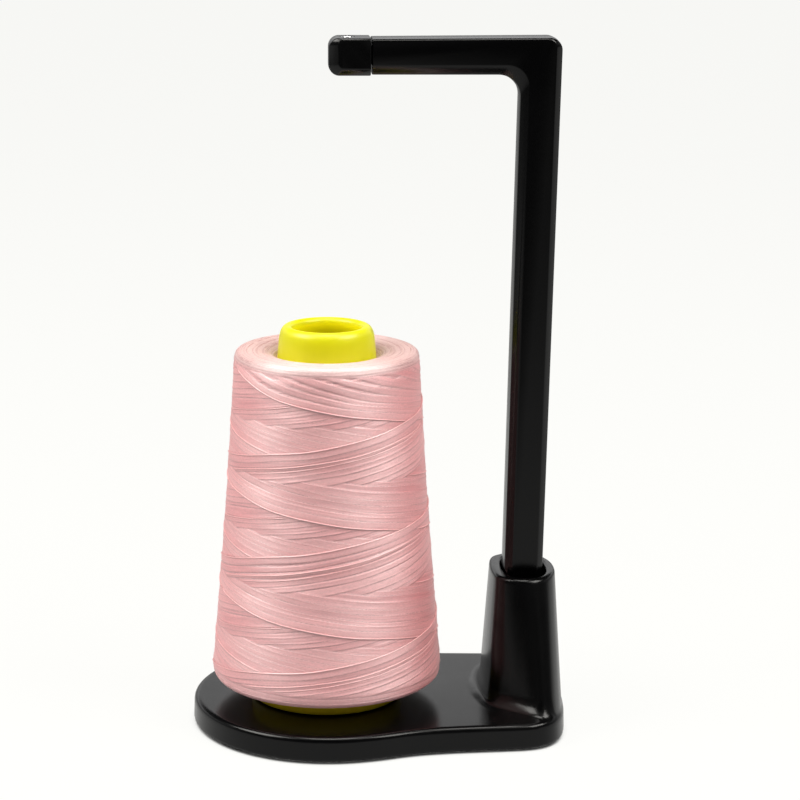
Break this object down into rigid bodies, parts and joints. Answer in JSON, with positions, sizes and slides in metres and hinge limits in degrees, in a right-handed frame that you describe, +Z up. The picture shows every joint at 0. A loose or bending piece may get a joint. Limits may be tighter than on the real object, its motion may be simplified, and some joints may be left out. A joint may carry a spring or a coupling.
{
  "type": "thread spool stand",
  "caption": "Moulded stand for a sewing thread cone: flat lobed base, spool pin under the cone, and an L-shaped arm plugged into a tapered socket, with a thread guide over the cone.",
  "frame": {"origin": "bottom centre of the whole object, on the surface that the rubber pads stand on", "axes": "+Z up, +X from the cone towards the arm socket, +Y to the back of the stand, away from the picture's camera"},
  "size_m": [0.1084, 0.0798, 0.1997],
  "materials": {
    "black_plastic": "black moulded plastic, satin gloss",
    "cap_plastic": "black moulded plastic, a little glossier than the arm",
    "cover_plastic": "black moulded plastic, fine matt texture",
    "pad_rubber": "dark grey rubber, matt",
    "steel": "bright zinc plated",
    "seat_plastic": "natural white moulded plastic",
    "yellow_plastic": "yellow moulded plastic, satin",
    "pink_thread": "cross-wound dusty pink sewing thread"
  },
  "bodies": {
    "base": {"base_shell": "black_plastic", "bottom_cover": "cover_plastic", "cover_screw_1": "steel", "cover_screw_2": "steel", "cover_screw_3": "steel", "cover_screw_4": "steel", "cover_screw_5": "steel", "cover_screw_6": "steel", "foot_pad_1": "pad_rubber", "foot_pad_2": "pad_rubber", "foot_pad_3": "pad_rubber", "foot_pad_4": "pad_rubber", "spool_pin": "black_plastic", "pin_washer": "steel", "pin_screw": "steel"},
    "seat": {"cone_seat": "seat_plastic"},
    "thread_cone": {"cone_core": "yellow_plastic", "thread_winding": "pink_thread"},
    "arm": {"pole_arm": "black_plastic", "arm_end_cap": "cap_plastic", "thread_eyelet": "steel"}
  },
  "joints": [
    {"name": "cone_spin", "type": "hinge", "parent": "base", "child": "seat", "pos_m": [-0.0154, 0, 0.0093], "axis": [0, 0, 1], "continuous": true},
    {"name": "cone_lift", "type": "slide", "parent": "seat", "child": "thread_cone", "axis": [0, 0, 1], "range_m": [0, 0.065]},
    {"name": "arm_lift", "type": "slide", "parent": "base", "child": "arm", "axis": [0, 0, 1], "range_m": [0, 0.045]}
  ]
}
